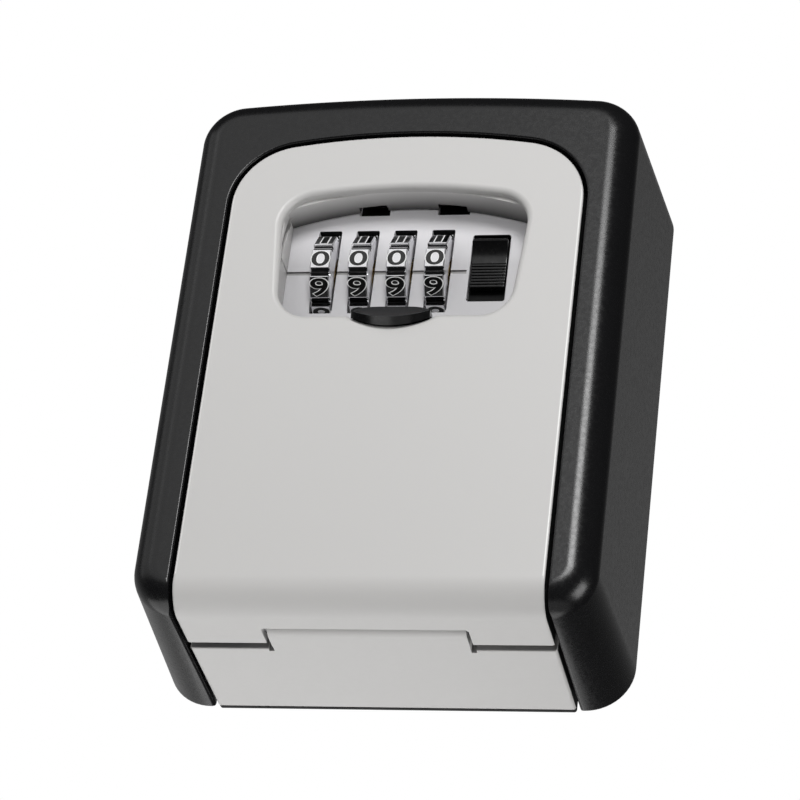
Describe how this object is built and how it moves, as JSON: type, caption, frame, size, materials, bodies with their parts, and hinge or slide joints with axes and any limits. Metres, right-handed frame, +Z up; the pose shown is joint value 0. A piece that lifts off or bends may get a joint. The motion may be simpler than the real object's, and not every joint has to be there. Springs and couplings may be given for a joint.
{
  "type": "key lock box",
  "caption": "Wall-mounted key lock box: arched grey door with number dials, a button and a sliding shutter, in a black shell.",
  "frame": {"origin": "centre of the rear face of the wall gasket, which lies against the wall", "axes": "+Y into the wall, -Y is the front, +Z up, +X to the right seen from the front"},
  "size_m": [0.095, 0.047, 0.121],
  "materials": {
    "shell": "satin black moulded plastic",
    "button": "gloss black plastic",
    "enamel": "fine-textured light grey enamel",
    "fascia": "satin light grey enamel",
    "rubber": "matte black",
    "chrome": "bright plated, figures inked black",
    "steel": "plated",
    "spring_steel": "bright drawn",
    "zinc": "as cast",
    "brass": "turned"
  },
  "bodies": {
    "housing": {"outer_shell": "shell", "body_tray": "enamel", "wall_gasket": "rubber", "strike_plate": "zinc", "hinge_pin": "steel", "shell_screw_1": "steel", "shell_screw_2": "steel", "shell_screw_3": "steel", "shell_screw_4": "steel"},
    "door": {"door_panel": "enamel", "dial_fascia": "fascia", "lock_frame": "zinc", "mechanism_cover": "shell", "shutter_guide": "shell", "detent_comb": "spring_steel", "cover_screw_1": "steel", "cover_screw_2": "steel", "cover_screw_3": "steel", "cover_screw_4": "steel"},
    "dial_1": {"number_dial_1": "chrome", "dial_sleeve_1": "brass"},
    "dial_2": {"number_dial_2": "chrome", "dial_sleeve_2": "brass"},
    "dial_3": {"number_dial_3": "chrome", "dial_sleeve_3": "brass"},
    "dial_4": {"number_dial_4": "chrome", "dial_sleeve_4": "brass"},
    "shaft": {"dial_shaft": "steel"},
    "lever": {"code_lever": "button"},
    "button": {"open_button": "button", "latch_carriage": "button", "gate_fence": "zinc", "return_spring": "spring_steel"},
    "bolt": {"latch_bolt": "zinc", "bolt_spring": "spring_steel"},
    "shutter": {"dial_shutter": "shell"}
  },
  "joints": [
    {"name": "door_open", "type": "hinge", "parent": "housing", "child": "door", "pos_m": [0, -0.0306, -0.0575], "axis": [1, 0, 0], "range_deg": [0, 95]},
    {"name": "dial_1_turn", "type": "hinge", "parent": "door", "child": "dial_1", "pos_m": [-0.0171, -0.0307, 0.0208], "axis": [1, 0, 0], "continuous": true},
    {"name": "dial_2_turn", "type": "hinge", "parent": "door", "child": "dial_2", "pos_m": [-0.00925, -0.0307, 0.0208], "axis": [1, 0, 0], "continuous": true},
    {"name": "dial_3_turn", "type": "hinge", "parent": "door", "child": "dial_3", "pos_m": [-0.0014, -0.0307, 0.0208], "axis": [1, 0, 0], "continuous": true},
    {"name": "dial_4_turn", "type": "hinge", "parent": "door", "child": "dial_4", "pos_m": [0.00645, -0.0307, 0.0208], "axis": [1, 0, 0], "continuous": true},
    {"name": "button_slide", "type": "slide", "parent": "door", "child": "button", "axis": [0, 0, -1], "range_m": [0, 0.003], "stiffness_N_per_m": 100, "springref_m": -0.01, "deforming": ["return_spring"]},
    {"name": "bolt_slide", "type": "slide", "parent": "button", "child": "bolt", "axis": [0, 0, 1], "range_m": [0, 0.003], "stiffness_N_per_m": 50, "springref_m": 0.02, "deforming": ["bolt_spring"]},
    {"name": "shutter_slide", "type": "hinge", "parent": "door", "child": "shutter", "pos_m": [0, 0.01136, 0.01058], "axis": [-1, 0, 0], "range_deg": [0, 30]},
    {"name": "code_lever_turn", "type": "hinge", "parent": "door", "child": "lever", "pos_m": [-0.0289, -0.0165, 0.0208], "axis": [0, -1, 0], "range_deg": [0, 90]},
    {"name": "shaft_shift", "type": "slide", "parent": "door", "child": "shaft", "axis": [1, 0, 0], "range_m": [0, 0.0014]}
  ],
  "couplings": [
    {"joint": "code_lever_turn", "follows": "shaft_shift", "rad_per_m": 1121.9}
  ]
}
